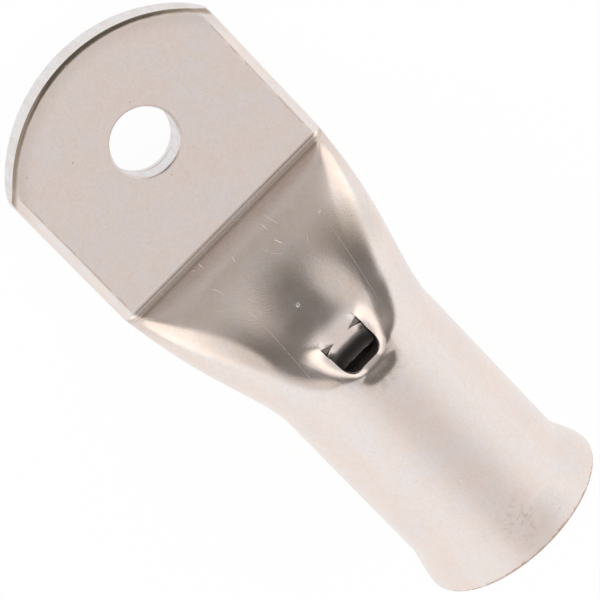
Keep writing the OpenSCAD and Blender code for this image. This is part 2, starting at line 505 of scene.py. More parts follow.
    def rings(self) -> list[np.ndarray]:
        """All rings, out along the outer face, round the lip and back inside.

        Returns:
            The rings in order.
        """
        s = self.size
        straight = s.fold_x - 1.5 * MM
        length = straight + s.tip_reach
        near = np.array([0.0, 0.12, 0.25, 0.4, 0.6, 0.85, 1.2]) * MM
        far = np.linspace(1.7 * MM, length, 60)
        rings = [self.palm_ring(d / length, straight) for d in np.concatenate([near, far])]
        stations = np.concatenate([
            np.arange(straight + 0.1 * MM, s.fold_x + 1.5 * MM, 0.075 * MM),
            np.arange(s.fold_x + 1.6 * MM, s.window_x2, 0.32 * MM),
            np.arange(s.window_x2, s.barrel_x, 0.14 * MM),
            np.linspace(s.barrel_x, s.bell_x, 48),
            np.linspace(s.bell_x, s.mouth_x - s.lip_round, 26)[1:]])
        rings += [self.outer_ring(float(x)) for x in stations]
        outer, inner = s.bell_od / 2, s.bell_od / 2 - s.lip_t
        soft = 0.35 * MM
        for a in np.radians(np.linspace(15, 90, 6)):
            rings.append(self.round_ring(s.mouth_x - s.lip_round * (1 - math.sin(a)),
                                         outer - s.lip_round * (1 - math.cos(a))))
        for a in np.radians(np.linspace(0, 90, 5)):
            rings.append(self.round_ring(s.mouth_x - soft * (1 - math.cos(a)),
                                         inner + soft * (1 - math.sin(a))))
        back = np.concatenate([
            np.linspace(s.mouth_x - soft, s.bell_x, 14)[1:],
            np.linspace(s.bell_x, s.barrel_x, 12)[1:],
            np.arange(s.barrel_x - 0.45 * MM, s.fold_x + 1.4 * MM, -0.45 * MM)])
        rings += [self.inner_ring(float(x)) for x in back]
        return rings

    def tip_wall(self, first: np.ndarray) -> tuple[np.ndarray, list[tuple[int, ...]]]:
        """Cut wall at the tip, with the seam between the two pressed walls.

        Args:
            first: The first ring of the outer face, along the cut arc.

        Returns:
            The wall's own points, and its faces; indexes under the ring's
            count mean the ring's points.
        """
        s = self.size
        n, top, side = self.count, self.top_steps, self.side_steps
        half = side // 2
        lefts = [(top + k, top + side - k) for k in range(half, 0, -1)]
        mids = [(k, 2 * top + side - k) for k in range(top, -1, -1)]
        rights = [((n - k) % n, 2 * top + side + k) for k in range(1, half + 1)]
        columns = lefts + mids + rights
        points: list[np.ndarray] = []
        indexes: list[list[int]] = []
        for high, low in columns:
            if high == low:
                indexes.append([high] * (self.tip_rows + 1))
                continue
            column = [high]
            for k in range(1, self.tip_rows):
                p = first[high] + (first[low] - first[high]) * k / self.tip_rows
                pressed = limit((s.palm_w / 2 - s.wall - abs(p[1])) / (1.5 * MM))
                gap = math.exp(-((p[2] - s.palm_t / 2) / s.seam_w) ** 2)
                p[0] += s.seam_depth * gap * pressed
                column.append(n + len(points))
                points.append(p)
            column.append(low)
            indexes.append(column)
        faces: list[tuple[int, ...]] = []
        for one, two in zip(indexes, indexes[1:]):
            for k in range(self.tip_rows):
                corners = (one[k], one[k + 1], two[k + 1], two[k])
                kept = tuple(dict.fromkeys(corners))
                if len(kept) > 2:
                    faces.append(kept)
        return np.array(points), faces

    def mesh(self) -> bpy.types.Mesh:
        """Closed mesh of the wall, before the window and stud hole are cut.

        Returns:
            The closed mesh.
        """
        rings = self.rings()
        n = self.count
        extra, wall = self.tip_wall(rings[0])
        points = np.concatenate([*rings, extra])
        shift = len(rings) * n - n
        faces: list[tuple[int, ...]] = []
        for k in range(len(rings) - 1):
            for i in range(n):
                j = (i + 1) % n
                faces.append((k * n + i, (k + 1) * n + i, (k + 1) * n + j, k * n + j))
        faces.append(tuple((len(rings) - 1) * n + i for i in range(n)))
        faces += [tuple(i if i < n else i + shift for i in f) for f in wall]
        return closed_mesh("lug_wall", points.tolist(), faces)


@dataclass
class CutShapes:
    """Shapes that cut the window and the stud hole, and the lanced tongue."""

    size: TubeSizes = field(default_factory=TubeSizes)

    def __post_init__(self) -> None:
        """Prepares the form of the shoulder."""
        self.form = ShoulderForm(self.size)

    def window_plan(self) -> list[tuple[float, float]]:
        """Plan of the window, torn beside the tongue and round at the barrel.

        Returns:
            The corners in order.
        """
        s = self.size
        half = s.window_w / 2
        side = [(s.window_x1 + s.notch * 0.35, half)]
        for a in np.radians(np.linspace(90, 0, 9)):
            side.append((s.window_x2 - s.window_r * (1 - math.cos(a)),
                         half - s.window_r * (1 - math.sin(a))))
        return side + [(x, -y) for x, y in reversed(side)]

    def window_cutter(self) -> bpy.types.Mesh:
        """Upright prism over the window.

        Returns:
            The closed mesh.
        """
        s = self.size
        low = self.form.height(s.window_x1) - s.valley_depth - 2 * s.wall
        return prism("window_cutter", self.window_plan(), low, s.barrel_od + 5 * MM)

    def stud_cutter(self) -> bpy.types.Mesh:
        """Turned shape of the stud hole with the rolled edge on top.

        Returns:
            The closed mesh.
        """
        s = self.size
        r, t = s.stud_d / 2, s.palm_t
        seam = s.wall * 0.55
        profile = [(r + 0.08 * MM, -2 * MM), (r + 0.08 * MM, 0.0),
                   (r + 0.03 * MM, seam - 0.12 * MM), (r + 0.22 * MM, seam),
                   (r, seam + 0.10 * MM), (r, t - s.die_roll)]
        for a in np.radians(np.linspace(15, 90, 6)):
            profile.append((r + s.die_roll * (1 - math.cos(a)), t - s.die_roll * (1 - math.sin(a))))
        profile.append((r + s.die_roll + 0.2 * MM, t + 0.004 * MM))
        profile.append((r + s.die_roll + 0.2 * MM, t + 2 * MM))
        return turned("stud_cutter", profile, 128)

    def tongue_path(self, steps: int = 24) -> list[tuple[float, float, float]]:
        """Upper face of the tongue, as x, z and slope, from its root.

        Args:
            steps: Steps along the tongue.

        Returns:
            One row for each end of a step.
        """
        s = self.size
        x = s.window_x1
        z = self.form.height(x) - s.valley_depth - 0.01 * MM
        slope = s.tongue_rise
        path = [(x - 1.0 * MM, z - 1.0 * MM * math.tan(slope) - 0.12 * MM, slope), (x, z, slope)]
        for k in range(steps):
            slope = s.tongue_rise - s.tongue_bend * ((k + 1) / steps) ** 1.6
            x += s.tongue_len / steps * math.cos(slope)
            z += s.tongue_len / steps * math.sin(slope)
            path.append((x, z, slope))
        return path

    def torn_cutter(self, side: int) -> bpy.types.Mesh:
        """Shallow three-cornered cut where the tongue tore from the wall.

        Args:
            side: 1 or -1, the side of the tongue.

        Returns:
            The closed mesh.
        """
        s = self.size
        half = s.window_w / 2 + 0.1 * MM
        plan = [(s.window_x1 - 0.45 * s.notch, side * half),
                (s.window_x1 + 0.75 * s.notch, side * (half - 2.2 * MM)),
                (s.window_x1 + 1.1 * s.notch, side * half)]
        low = self.form.height(s.window_x1) - s.valley_depth - 0.5 * MM
        return prism("torn_corner", plan, low, s.barrel_od, 0.53)

    def tongue(self) -> bpy.types.Mesh:
        """Closed mesh of the tongue, root lapped into the wall.

        Returns:
            The closed mesh.
        """
        s = self.size
        path = self.tongue_path()
        columns = 24
        widest = s.window_w / 2 - s.shear_gap
        last = path[-1][0]
        rings = []
        for x, z, slope in path:
            into = float(limit((x - last + s.tongue_r) / s.tongue_r))
            half = widest - s.tongue_r * (1 - math.sqrt(max(1 - into ** 2, 0.0)))
            across = np.linspace(half, -half, columns + 1)
            dish = self.form.dish(across)
            ragged = 0.09 * MM * (x == last)
            top = [(x + ragged * noise.noise(Vector((y * 900.0, 0.0, 5.1))), y, z + up)
                   for y, up in zip(across, dish)]
            fall = (s.wall * math.sin(slope), -s.wall * math.cos(slope) - 0.8 * MM)
            under = [(x + fall[0], y, z + fall[1]) for y in across[::-1]]
            rings.append(top + under)
        n = len(rings[0])
        faces = [tuple(range(n)), tuple((len(rings) - 1) * n + i for i in reversed(range(n)))]
        for k in range(len(rings) - 1):
            for i in range(n):
                j = (i + 1) % n
                faces.append((k * n + j, (k + 1) * n + j, (k + 1) * n + i, k * n + i))
        return closed_mesh("tongue", [p for ring in rings for p in ring], faces)


def closed_mesh(name: str, points: list[tuple[float, ...]],
                faces: list[tuple[int, ...]]) -> bpy.types.Mesh:
    """Mesh of a closed shape, with its faces turned outwards.

    Args:
        name: Name of the mesh.
        points: Its points.
        faces: The points of each face, by index.

    Returns:
        The mesh.
    """
    made = bpy.data.meshes.new(name)
    made.from_pydata(points, [], faces)
    made.validate()
    work = bmesh.new()
    work.from_mesh(made)
    bmesh.ops.recalc_face_normals(work, faces=work.faces)
    work.to_mesh(made)
    work.free()
    return made


def prism(name: str, plan: list[tuple[float, float]], low: float, high: float,
          lean: float = 0.0) -> bpy.types.Mesh:
    """Upright prism.

    Args:
        name: Name of the mesh.
        plan: Corners in order.
        low: Height of the bottom at the first corner.
        high: Height of the top.
        lean: Climb of the bottom along X.

    Returns:
        The closed mesh.
    """
    n = len(plan)
    points = [(x, y, low + lean * (x - plan[0][0])) for x, y in plan]
    points += [(x, y, high) for x, y in plan]
    faces = [tuple(range(n)), tuple(range(2 * n - 1, n - 1, -1))]
    faces += [(i, (i + 1) % n, n + (i + 1) % n, n + i) for i in range(n)]
    return closed_mesh(name, points, faces)


def turned(name: str, profile: list[tuple[float, float]], steps: int) -> bpy.types.Mesh:
    """Shape turned round the Z axis.

    Args:
        name: Name of the mesh.
        profile: Radius and height of each corner, from the bottom up.
        steps: Steps round the axis.

    Returns:
        The closed mesh.
    """
    points = []
    for r, z in profile:
        for k in range(steps):
            a = 2 * math.pi * k / steps
            points.append((r * math.cos(a), r * math.sin(a), z))
    faces = [tuple(reversed(range(steps))),
             tuple((len(profile) - 1) * steps + k for k in range(steps))]
    for row in range(len(profile) - 1):
        for k in range(steps):
            j = (k + 1) % steps
            faces.append((row * steps + k, row * steps + j,
                          (row + 1) * steps + j, (row + 1) * steps + k))
    return closed_mesh(name, points, faces)


@dataclass
class TubeLug:
    """The whole lug: wall, cuts and tongue joined into one mesh and dressed."""

    size: TubeSizes = field(default_factory=TubeSizes)
    sharp_over: float = math.radians(34.0)

    def build(self) -> bpy.types.Object:
        """Makes the lug, dresses it, hangs it under the root body's empty and hides the imported
        part.

        Returns:
            The dressed lug.
        """
        piece = bpy.data.objects.new("lug_skin", LugSkin(self.size).mesh())
        bpy.context.scene.collection.objects.link(piece)
        cuts = CutShapes(self.size)
        self.apply_boolean(piece, cuts.stud_cutter(), "DIFFERENCE")
        self.apply_boolean(piece, cuts.window_cutter(), "DIFFERENCE")
        self.apply_boolean(piece, cuts.tongue(), "UNION")
        for side in (1, -1):
            self.apply_boolean(piece, cuts.torn_cutter(side), "DIFFERENCE")
        self.smooth(piece.data)
        self.dress(piece.data)
        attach(piece, BODY)
        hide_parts(NODE)
        return piece

    def dress(self, mesh: bpy.types.Mesh) -> None:
        """Gives each face the finish of the surface that it lies on.

        Args:
            mesh: The lug's mesh.
        """
        mesh.materials.clear()
        for finish in (TinPlate(), CutEdge(), DullBoreShaded()):
            mesh.materials.append(finish.material())
        form = ShoulderForm(self.size)
        for face in mesh.polygons:
            face.material_index = self.surface_at(form, face.center, face.normal).value

    def surface_at(self, form: ShoulderForm, spot: Vector, normal: Vector) -> Surface:
        """Kind of surface at a place on the lug.

        Args:
            form: Form of the shoulder.
            spot: Centre of a face.
            normal: The face's normal.

        Returns:
            The kind of surface.
        """
        s = self.size
        x, y, z = spot
        tip = s.tip_r - math.hypot(x - s.tip_cx, y)
        if x < s.fold_x:
            at_tip = x < 0 and tip < 0.5 * MM and abs(normal.z) < 0.3
            at_stud = math.hypot(x, y) < s.stud_d / 2 + 0.2 * MM and abs(normal.z) < 0.5
            return Surface.CUT if at_tip or at_stud else Surface.PLATE
        half_window = s.window_w / 2
        under_axis = s.barrel_od / 2 - 2 * MM
        in_length = s.window_x1 - s.notch <= x <= s.window_x2
        over_window = in_length and abs(y) <= half_window + 0.2 * MM
        if over_window and z > under_axis and abs(normal.z) < 0.25:
            return Surface.CUT
        torn_z = form.height(s.window_x1) - s.valley_depth - 0.6 * MM
        at_root = abs(x - s.window_x1) < 1.2 * s.notch and abs(y) < half_window + 0.15 * MM
        if at_root and z > torn_z:
            return Surface.PLATE
        on_tongue = s.window_x1 - 0.5 * MM < x < s.window_x1 + s.tongue_len
        if on_tongue and abs(y) < half_window and z > under_axis + 1 * MM and normal.z > 0.2:
            return Surface.PLATE
        r = form.height(x) / 2
        beside = abs(y) - max(form.half_width(x) - r, 0.0)
        if beside > 0:
            deep = r - math.hypot(beside, z - r)
        else:
            deep = min(form.height(x) - z, z)
        deep -= float(form.pressed(x, np.array(y))) * (z > r)
        inside = deep > s.wall * 0.6 and x < s.mouth_x - 0.5 * MM
        return Surface.BORE if inside else Surface.PLATE

    def apply_boolean(self, piece: bpy.types.Object, tool: bpy.types.Mesh, kind: str) -> None:
        """Cuts or joins a shape and keeps only the result.

        Args:
            piece: What is changed.
            tool: The shape.
            kind: DIFFERENCE or UNION.
        """
        other = bpy.data.objects.new(tool.name, tool)
        bpy.context.scene.collection.objects.link(other)
        step = piece.modifiers.new(kind.lower(), "BOOLEAN")
        step.operation = kind
        step.solver = "EXACT"
        step.object = other
        graph = bpy.context.evaluated_depsgraph_get()
        result = bpy.data.meshes.new_from_object(piece.evaluated_get(graph))
        piece.modifiers.clear()
        piece.data = result
        bpy.data.objects.remove(other)

    def smooth(self, mesh: bpy.types.Mesh) -> None:
        """Cleans the cuts and shades the faces smooth up to the sharp edges.

        Args:
            mesh: The lug's mesh.
        """
        work = bmesh.new()
        work.from_mesh(mesh)
        bmesh.ops.remove_doubles(work, verts=work.verts, dist=0.002 * MM)
        bmesh.ops.dissolve_degenerate(work, edges=work.edges, dist=0.001 * MM)
        work.to_mesh(mesh)
        work.free()
        mesh.shade_smooth()
        mesh.set_sharp_from_angle(angle=self.sharp_over)


@dataclass
class NodeSheet:
    """Short hand for adding and linking the nodes of one tree."""

    tree: bpy.types.NodeTree

    def __post_init__(self) -> None:
        """Starts from an empty tree."""
        self.tree.nodes.clear()

    def link(self, source: bpy.types.NodeSocket, target: bpy.types.NodeSocket) -> None:
        """Joins two sockets."""
        self.tree.links.new(source, target)

    def fill(self, target: bpy.types.NodeSocket, value: Value) -> None:
        """Links a socket or sets a plain value.

        Args:
            target: Input that takes the value.
            value: Socket, number or vector.
        """
        if isinstance(value, bpy.types.NodeSocket):
            self.link(value, target)
        else:
            target.default_value = value

    def add(self, kind: str, **values: Value) -> bpy.types.Node:
        """Adds a node.

        Args:
            kind: Type of the node.
            values: Properties and inputs by name, with _ for a space.

        Returns:
            The node.
        """
        node = self.tree.nodes.new(kind)
        for name, value in values.items():
            if hasattr(node, name):
                setattr(node, name, value)
            else:
                self.fill(node.inputs[name.replace("_", " ")], value)
        return node

    def maths(self, kind: str, first: Value, second: Value = 0.0,
              third: Value | bool = False) -> bpy.types.NodeSocket:
        """Result of one sum.

        Args:
            kind: Operation of the maths node.
            first: First value.
            second: Second value.
            third: Third value, or True to hold the result between 0 and 1.

        Returns:
            The result.
        """
        node = self.add("ShaderNodeMath", operation=kind)
        self.fill(node.inputs[0], first)
        self.fill(node.inputs[1], second)
        if isinstance(third, bool):
            node.use_clamp = third
        else:
            self.fill(node.inputs[2], third)
        return node.outputs[0]

    def tint(self, share: Value, first: Value, second: Value) -> bpy.types.NodeSocket:
        """Colour between two others.

        Args:
            share: Share of the second colour.
            first: First colour.
            second: Second colour.

        Returns:
            The colour.
        """
        node = self.add("ShaderNodeMix", data_type="RGBA")
        self.fill(node.inputs[0], share)
        for index, value in ((6, first), (7, second)):
            self.fill(node.inputs[index], (*value, 1.0) if isinstance(value, tuple) else value)
        return node.outputs[2]

    def place(self, group: bpy.types.NodeTree, **values: Value) -> bpy.types.Node:
        """Adds a shared group with its own values.

        Args:
            group: The group.
            values: Its inputs by name.

        Returns:
            The node.
        """
        node = self.tree.nodes.new("ShaderNodeGroup")
        node.node_tree = group
        for name, value in values.items():
            self.fill(node.inputs[name], value)
        return node

    def inputs(self, **values: Value) -> dict[str, bpy.types.NodeSocket]:
        """Inputs of a group with their first values, by name.

        Args:
            values: First value of each input.

        Returns:
            The sockets by name.
        """
        for name, value in values.items():
            kind = "NodeSocketVector" if isinstance(value, tuple) else "NodeSocketFloat"
            made = self.tree.interface.new_socket(name, in_out="INPUT", socket_type=kind)
            made.default_value = value
        return dict(self.tree.nodes.new("NodeGroupInput").outputs.items())

    def outputs(self, **sources: bpy.types.NodeSocket) -> None:
        """Outputs of a group, by name.

        Args:
            sources: What each output passes on.
        """
        for name in sources:
            self.tree.interface.new_socket(name, in_out="OUTPUT", socket_type="NodeSocketFloat")
        node = self.tree.nodes.new("NodeGroupOutput")
        for name, source in sources.items():
            self.link(source, node.inputs[name])

    def step(self, value: Value, start: float, end: float, low: float = 0.0,
             high: float = 1.0) -> bpy.types.NodeSocket:
        """Smooth step of a value, from low at start to high at end.

        Args:
            value: The value.
            start: Where the step starts.
            end: Where it ends.
            low: Result at the start.
            high: Result at the end.

        Returns:
            The result.
        """
        node = self.add("ShaderNodeMapRange", interpolation_type="SMOOTHSTEP", Value=value,
                        From_Min=start, From_Max=end, To_Min=low, To_Max=high)
        return node.outputs[0]

    def times(self, *values: Value) -> bpy.types.NodeSocket:
        """Product of two or more values."""
        return reduce(lambda first, second: self.maths("MULTIPLY", first, second), values)

    def most(self, *values: Value) -> bpy.types.NodeSocket:
        """Largest of two or more values."""
        return reduce(lambda first, second: self.maths("MAXIMUM", first, second), values)

    def split(self, where: Value) -> list[bpy.types.NodeSocket]:
        """The x, y and z of a place."""
        return list(self.add("ShaderNodeSeparateXYZ", Vector=where).outputs)

    def uneven(self, where: Value, scale: float, detail: float,
               roughness: float = 0.5) -> bpy.types.NodeSocket:
        """Noise round 0.5, with scale in waves per metre."""
        return self.add("ShaderNodeTexNoise", Vector=where, Scale=scale, Detail=detail,
                        Roughness=roughness).outputs[0]

    def vector(self, kind: str, where: Value, other: Value) -> bpy.types.Node:
        """Vector sum of a place and another vector.

        Args:
            kind: Operation of the vector maths node.
            where: Position socket.
            other: Socket or fixed vector.

        Returns:
            The node.
        """
        node = self.add("ShaderNodeVectorMath", operation=kind)
        self.fill(node.inputs[0], where)
        self.fill(node.inputs[1], other)
        return node

    def away(self, where: Value, spot: tuple[float, float, float]) -> bpy.types.NodeSocket:
        """Distance of a place from a spot."""
        return self.vector("DISTANCE", where, spot).outputs["Value"]

    def metal(self, colour: Value, rough: Value, height: Value) -> None:
        """Ends the sheet of a metal.

        Args:
            colour: Base colour.
            rough: Roughness.
            height: Height of the bump, in metres.
        """
        bump = self.add("ShaderNodeBump", Strength=1.0, Distance=1.0, Height=height)
        shader = self.add("ShaderNodeBsdfPrincipled", Base_Color=colour, Metallic=1.0,
                          Roughness=rough, Normal=bump.outputs[0])
        self.add("ShaderNodeOutputMaterial", Surface=shader.outputs[0])

    def blend(self, share: Value, first: Value, second: Value) -> bpy.types.NodeSocket:
        """Value between two others.

        Args:
            share: Share of the second value.
            first: First value.
            second: Second value.

        Returns:
            The value.
        """
        node = self.add("ShaderNodeMix", data_type="FLOAT")
        for index, value in ((0, share), (2, first), (3, second)):
            self.fill(node.inputs[index], value)
        return node.outputs[0]


def new_finish(name: str) -> tuple[bpy.types.Material, NodeSheet, bpy.types.NodeSocket]:
    """Empty material with its sheet and the place on the object.

    Args:
        name: Name of the material.

    Returns:
        The material, the sheet and the position socket.
    """
    made = bpy.data.materials.new(name)
    made.use_nodes = True
    sheet = NodeSheet(made.node_tree)
    return made, sheet, sheet.add("ShaderNodeTexCoord").outputs["Object"]


def cloud_group() -> bpy.types.NodeTree:
    """Shader group of soft patches and fine grain, built once.

    Returns:
        The group, with Position, Patch and Grain inputs in metres.
    """
    made = bpy.data.node_groups.get("plate_clouds")
    if made:
        return made
    made = bpy.data.node_groups.new("plate_clouds", "ShaderNodeTree")
    sheet = NodeSheet(made)
    given = sheet.inputs(Position=(0.0, 0.0, 0.0), Patch=0.006, Grain=0.00025)
    coarse = sheet.add("ShaderNodeTexNoise", Vector=given["Position"], Detail=3.0, Roughness=0.55,
                       Scale=sheet.maths("DIVIDE", 1.0, given["Patch"]))
    fine = sheet.add("ShaderNodeTexNoise", Vector=given["Position"], Detail=2.0, Roughness=0.7,
                     Scale=sheet.maths("DIVIDE", 1.0, given["Grain"]))
    waves = sheet.add("ShaderNodeTexNoise", Vector=given["Position"], Detail=0.0,
                      Scale=sheet.maths("DIVIDE", 0.8, given["Patch"]))
    sheet.outputs(Patches=sheet.step(coarse.outputs[0], 0.36, 0.66), Waves=waves.outputs[0],
                  Grains=sheet.step(fine.outputs[0], 0.30, 0.70))
    return made


def scratch_group() -> bpy.types.NodeTree:
    """Shader group of single straight or slightly bent strokes, built once.

    Returns:
        The group. Turn is the strokes' direction and Spread how far it varies;
        Length, Spacing and Width are in metres, Bend is per metre, and Share
        is how many of the places carry a stroke.
    """
    made = bpy.data.node_groups.get("plate_strokes")
    if made:
        return made
    made = bpy.data.node_groups.new("plate_strokes", "ShaderNodeTree")
    sheet = NodeSheet(made)
    given = sheet.inputs(Position=(0.0, 0.0, 0.0), Turn=0.0, Spread=1.0, Length=0.01,
                         Spacing=0.002, Width=0.00006, Share=0.3, Bend=20.0)
    flat = sheet.vector("MULTIPLY", given["Position"], (1.0, 1.0, 0.35))
    near = sheet.add("ShaderNodeTexVoronoi", Vector=flat.outputs[0],
                     Scale=sheet.maths("DIVIDE", 1.0, given["Spacing"]))
    gap = sheet.vector("SUBTRACT", flat.outputs[0], near.outputs["Position"])
    luck = sheet.add("ShaderNodeSeparateColor", Color=near.outputs["Color"])
    angle = sheet.maths("MULTIPLY_ADD", sheet.maths("SUBTRACT", luck.outputs[1], 0.5),
                        given["Spread"], given["Turn"])
    spun = sheet.add("ShaderNodeVectorRotate", rotation_type="Z_AXIS", Vector=gap.outputs[0],
                     Angle=angle)
    along, across = sheet.split(spun.outputs[0])[:2]
    half = sheet.times(given["Length"], sheet.maths("ADD", luck.outputs[2], 0.2))
    ends = sheet.step(sheet.maths("DIVIDE", sheet.maths("ABSOLUTE", along), half),
                      0.15, 0.5, 1.0, 0.0)
    arc = sheet.times(along, along, sheet.maths("SUBTRACT", luck.outputs[0], 0.15),
                      given["Bend"])
    away = sheet.maths("ABSOLUTE", sheet.maths("ADD", across, arc))
    line = sheet.maths("SUBTRACT", 1.0, sheet.maths("DIVIDE", away, given["Width"]), True)
    kept = sheet.maths("LESS_THAN", luck.outputs[0], given["Share"])
    sheet.outputs(Strokes=sheet.times(ends, line, kept))
    return made


def ding_group() -> bpy.types.NodeTree:
    """Shader group of small uneven knocks, built once.

    Returns:
        The group, with Position, Spacing and Radius in metres and a Share.
    """
    made = bpy.data.node_groups.get("plate_dings")
    if made:
        return made
    made = bpy.data.node_groups.new("plate_dings", "ShaderNodeTree")
    sheet = NodeSheet(made)
    given = sheet.inputs(Position=(0.0, 0.0, 0.0), Spacing=0.004, Radius=0.0004, Share=0.3)
    rough = sheet.uneven(given["Position"], 2600.0, 2.0)
    near = sheet.add("ShaderNodeTexVoronoi", Vector=given["Position"],
                     Scale=sheet.maths("DIVIDE", 1.0, given["Spacing"]))
    luck = sheet.add("ShaderNodeSeparateColor", Color=near.outputs["Color"])
    uneven = sheet.times(near.outputs["Distance"], given["Spacing"], rough, 2.4)
    size = sheet.times(given["Radius"], sheet.maths("ADD", luck.outputs[1], 0.4))
    bowl = sheet.maths("SUBTRACT", 1.0, sheet.maths("DIVIDE", uneven, size), True)
    kept = sheet.maths("LESS_THAN", luck.outputs[0], given["Share"])
    sheet.outputs(Dings=sheet.times(bowl, kept))
    return made


@dataclass(frozen=True)
class TinPlate:
    """Satin tin plating, lightly scratched and knocked, with painted shade at the fold, in the dent
    and on the tongue's far half.
    """

    size: TubeSizes = TubeSizes()
    colour: tuple[float, float, float] = (0.885, 0.77, 0.72)
    patch_colour: tuple[float, float, float] = (0.86, 0.78, 0.755)
    warm: tuple[float, float, float] = (0.87, 0.75, 0.675)
    copper: tuple[float, float, float] = (0.52, 0.33, 0.24)
    # brown of the staining, smudges and specks, also the colour of the painted shade in the dent
    stain_and_shade_brown: tuple[float, float, float] = (0.56, 0.48, 0.40)
    # brown of the palm's lines, also the colour of the painted shade at the fold
    dark_brown_and_shade: tuple[float, float, float] = (0.40, 0.32, 0.25)
    shade: tuple[float, float, float] = (0.18, 0.165, 0.155)
    roughness: float = 0.15
    patch_roughness: float = 0.07
    grain_depth: float = 0.0035 * MM
    wave_depth: float = 0.10 * MM
    patch: float = 7.0 * MM
    grain: float = 0.24 * MM
    scuff_out: float = 10.6 * MM
    scuff_aside: float = 11.0 * MM
    scuff_up: float = 14.0 * MM

    def strokes(self, sheet: NodeSheet, where: Value) -> list[bpy.types.NodeSocket]:
        """Three sets of scratches: long fine ones, short ones and short deep ones.

        Args:
            sheet: The material's sheet.
            where: Position socket.

        Returns:
            The mask of each set.
        """
        sets = (dict(Turn=0.1, Spread=1.2, Length=24.0 * MM, Spacing=14.0 * MM,
                     Width=0.03 * MM, Share=0.28, Bend=25.0),
                dict(Turn=1.0, Spread=6.0, Length=2.6 * MM, Spacing=2.9 * MM,
                     Width=0.03 * MM, Share=0.5, Bend=500.0),
                dict(Turn=0.5, Spread=6.0, Length=1.1 * MM, Spacing=1.9 * MM,
                     Width=0.055 * MM, Share=0.06, Bend=900.0))
        return [sheet.place(scratch_group(), Position=where, **one).outputs["Strokes"]
                for one in sets]

    def knocks(self, sheet: NodeSheet, where: Value) -> list[bpy.types.NodeSocket]:
        """Two sets of knocks: dings and small specks.

        Args:
            sheet: The material's sheet.
            where: Position socket.

        Returns:
            The mask of each set.
        """
        sets = (dict(Spacing=5.6 * MM, Radius=0.42 * MM, Share=0.34),
                dict(Spacing=3.1 * MM, Radius=0.16 * MM, Share=0.25))
        return [sheet.place(ding_group(), Position=where, **one).outputs["Dings"]
                for one in sets]

    def material(self) -> bpy.types.Material:
        """Material of the plating.

        Returns:
            The material.
        """
        made, sheet, where = new_finish("tin_plate")
        clouds = sheet.place(cloud_group(), Position=where, Patch=self.patch, Grain=self.grain)
        patches, grains = clouds.outputs["Patches"], clouds.outputs["Grains"]
        long, short, deep = self.strokes(sheet, where)
        crowded = sheet.step(sheet.uneven(where, 85.0, 1.0), 0.44, 0.60, 0.1, 1.0)
        short, deep = sheet.times(crowded, short), sheet.times(crowded, deep)
        dings, specks = self.knocks(sheet, where)
        blotch = sheet.place(cloud_group(), Position=where, Patch=1.9 * MM, Grain=0.5 * MM)
        blotches = sheet.step(blotch.outputs["Patches"], 0.15, 0.9, 0.0, 0.5)
        smudge = sheet.step(blotch.outputs["Grains"], 0.35, 0.95, 0.0, 0.08)
        # bell staining, the scuff and the painted shade in the dent
        stain_scuff_and_shade = sheet.most(self.bell_stain_and_dent_shade(sheet, where), self.scuff(sheet, where))
        shaded = self.tongue_shade(sheet, where)
        colour = sheet.tint(patches, self.colour, self.patch_colour)
        # painted shade comes in with the dent's, the fold's and the tongue's masks
        for share, tone in ((blotches, self.warm), (smudge, self.stain_and_shade_brown), (stain_scuff_and_shade, self.stain_and_shade_brown),
                            (sheet.maths("MULTIPLY", specks, 1.2, True), self.stain_and_shade_brown),
                            (self.brown_lines_and_fold_shade(sheet, where), self.dark_brown_and_shade),
                            (shaded, self.shade), (self.bare_copper(sheet, where), self.copper)):
            colour = sheet.tint(share, colour, tone)
        rough = self.roughness
        for mask, more in ((patches, self.patch_roughness), (grains, 0.05), (shaded, 0.45),
                           (stain_scuff_and_shade, 0.10), (sheet.most(long, short, deep), 0.20)):
            rough = sheet.maths("MULTIPLY_ADD", mask, more, rough)
        height = sheet.times(grains, self.grain_depth)
        for mask, depth in ((clouds.outputs["Waves"], self.wave_depth), (long, -0.006 * MM),
                            (short, -0.008 * MM), (deep, -0.02 * MM), (dings, -0.075 * MM),
                            (specks, -0.015 * MM)):
            height = sheet.maths("MULTIPLY_ADD", mask, depth, height)
        sheet.metal(colour, rough, height)
        return made

    def scuff(self, sheet: NodeSheet, where: Value) -> bpy.types.NodeSocket:
        """Scuffed patch on the ridge beside the valley.

        Args:
            sheet: The material's sheet.
            where: Position socket.

        Returns:
            The mask.
        """
        spot = (self.size.fold_x + self.scuff_out, self.scuff_aside, self.scuff_up)
        return sheet.step(sheet.away(where, spot), 2.5 * MM, 6.5 * MM, 0.55, 0.0)

    def bell_stain_and_dent_shade(self, sheet: NodeSheet, where: Value) -> bpy.types.NodeSocket:
        """Broken brown staining on top of the bell, and painted shade, broken and denser, in the
        dent behind the window.

        Args:
            sheet: The material's sheet.
            where: Position socket.

        Returns:
            The mask.
        """
        s = self.size
        broken = sheet.uneven(where, 900.0, 4.0, 0.75)
        on_bell = sheet.away(where, (s.bell_x + 0.9 * MM, -0.4 * MM, s.barrel_od + 0.6 * MM))
        bell = sheet.times(sheet.step(on_bell, 1.2 * MM, 5.0 * MM, 1.0, 0.0),
                           sheet.step(broken, 0.48, 0.66), 0.42)
        # painted shade in the dent behind the window
        wide, tall = 0.55, 0.7
        drawn_out = sheet.vector("MULTIPLY", where, (1.0, wide, tall)).outputs[0]
        in_dent = sheet.away(drawn_out, (s.window_x2 + 2.2 * MM, 0.4 * MM,
                                         tall * (s.barrel_od - 0.6 * MM)))
        dent = sheet.times(sheet.step(in_dent, 0.5 * MM, 2.7 * MM, 1.0, 0.0),
                           sheet.step(broken, 0.42, 0.62, 0.25, 1.0), 0.78)
        return sheet.most(bell, dent)

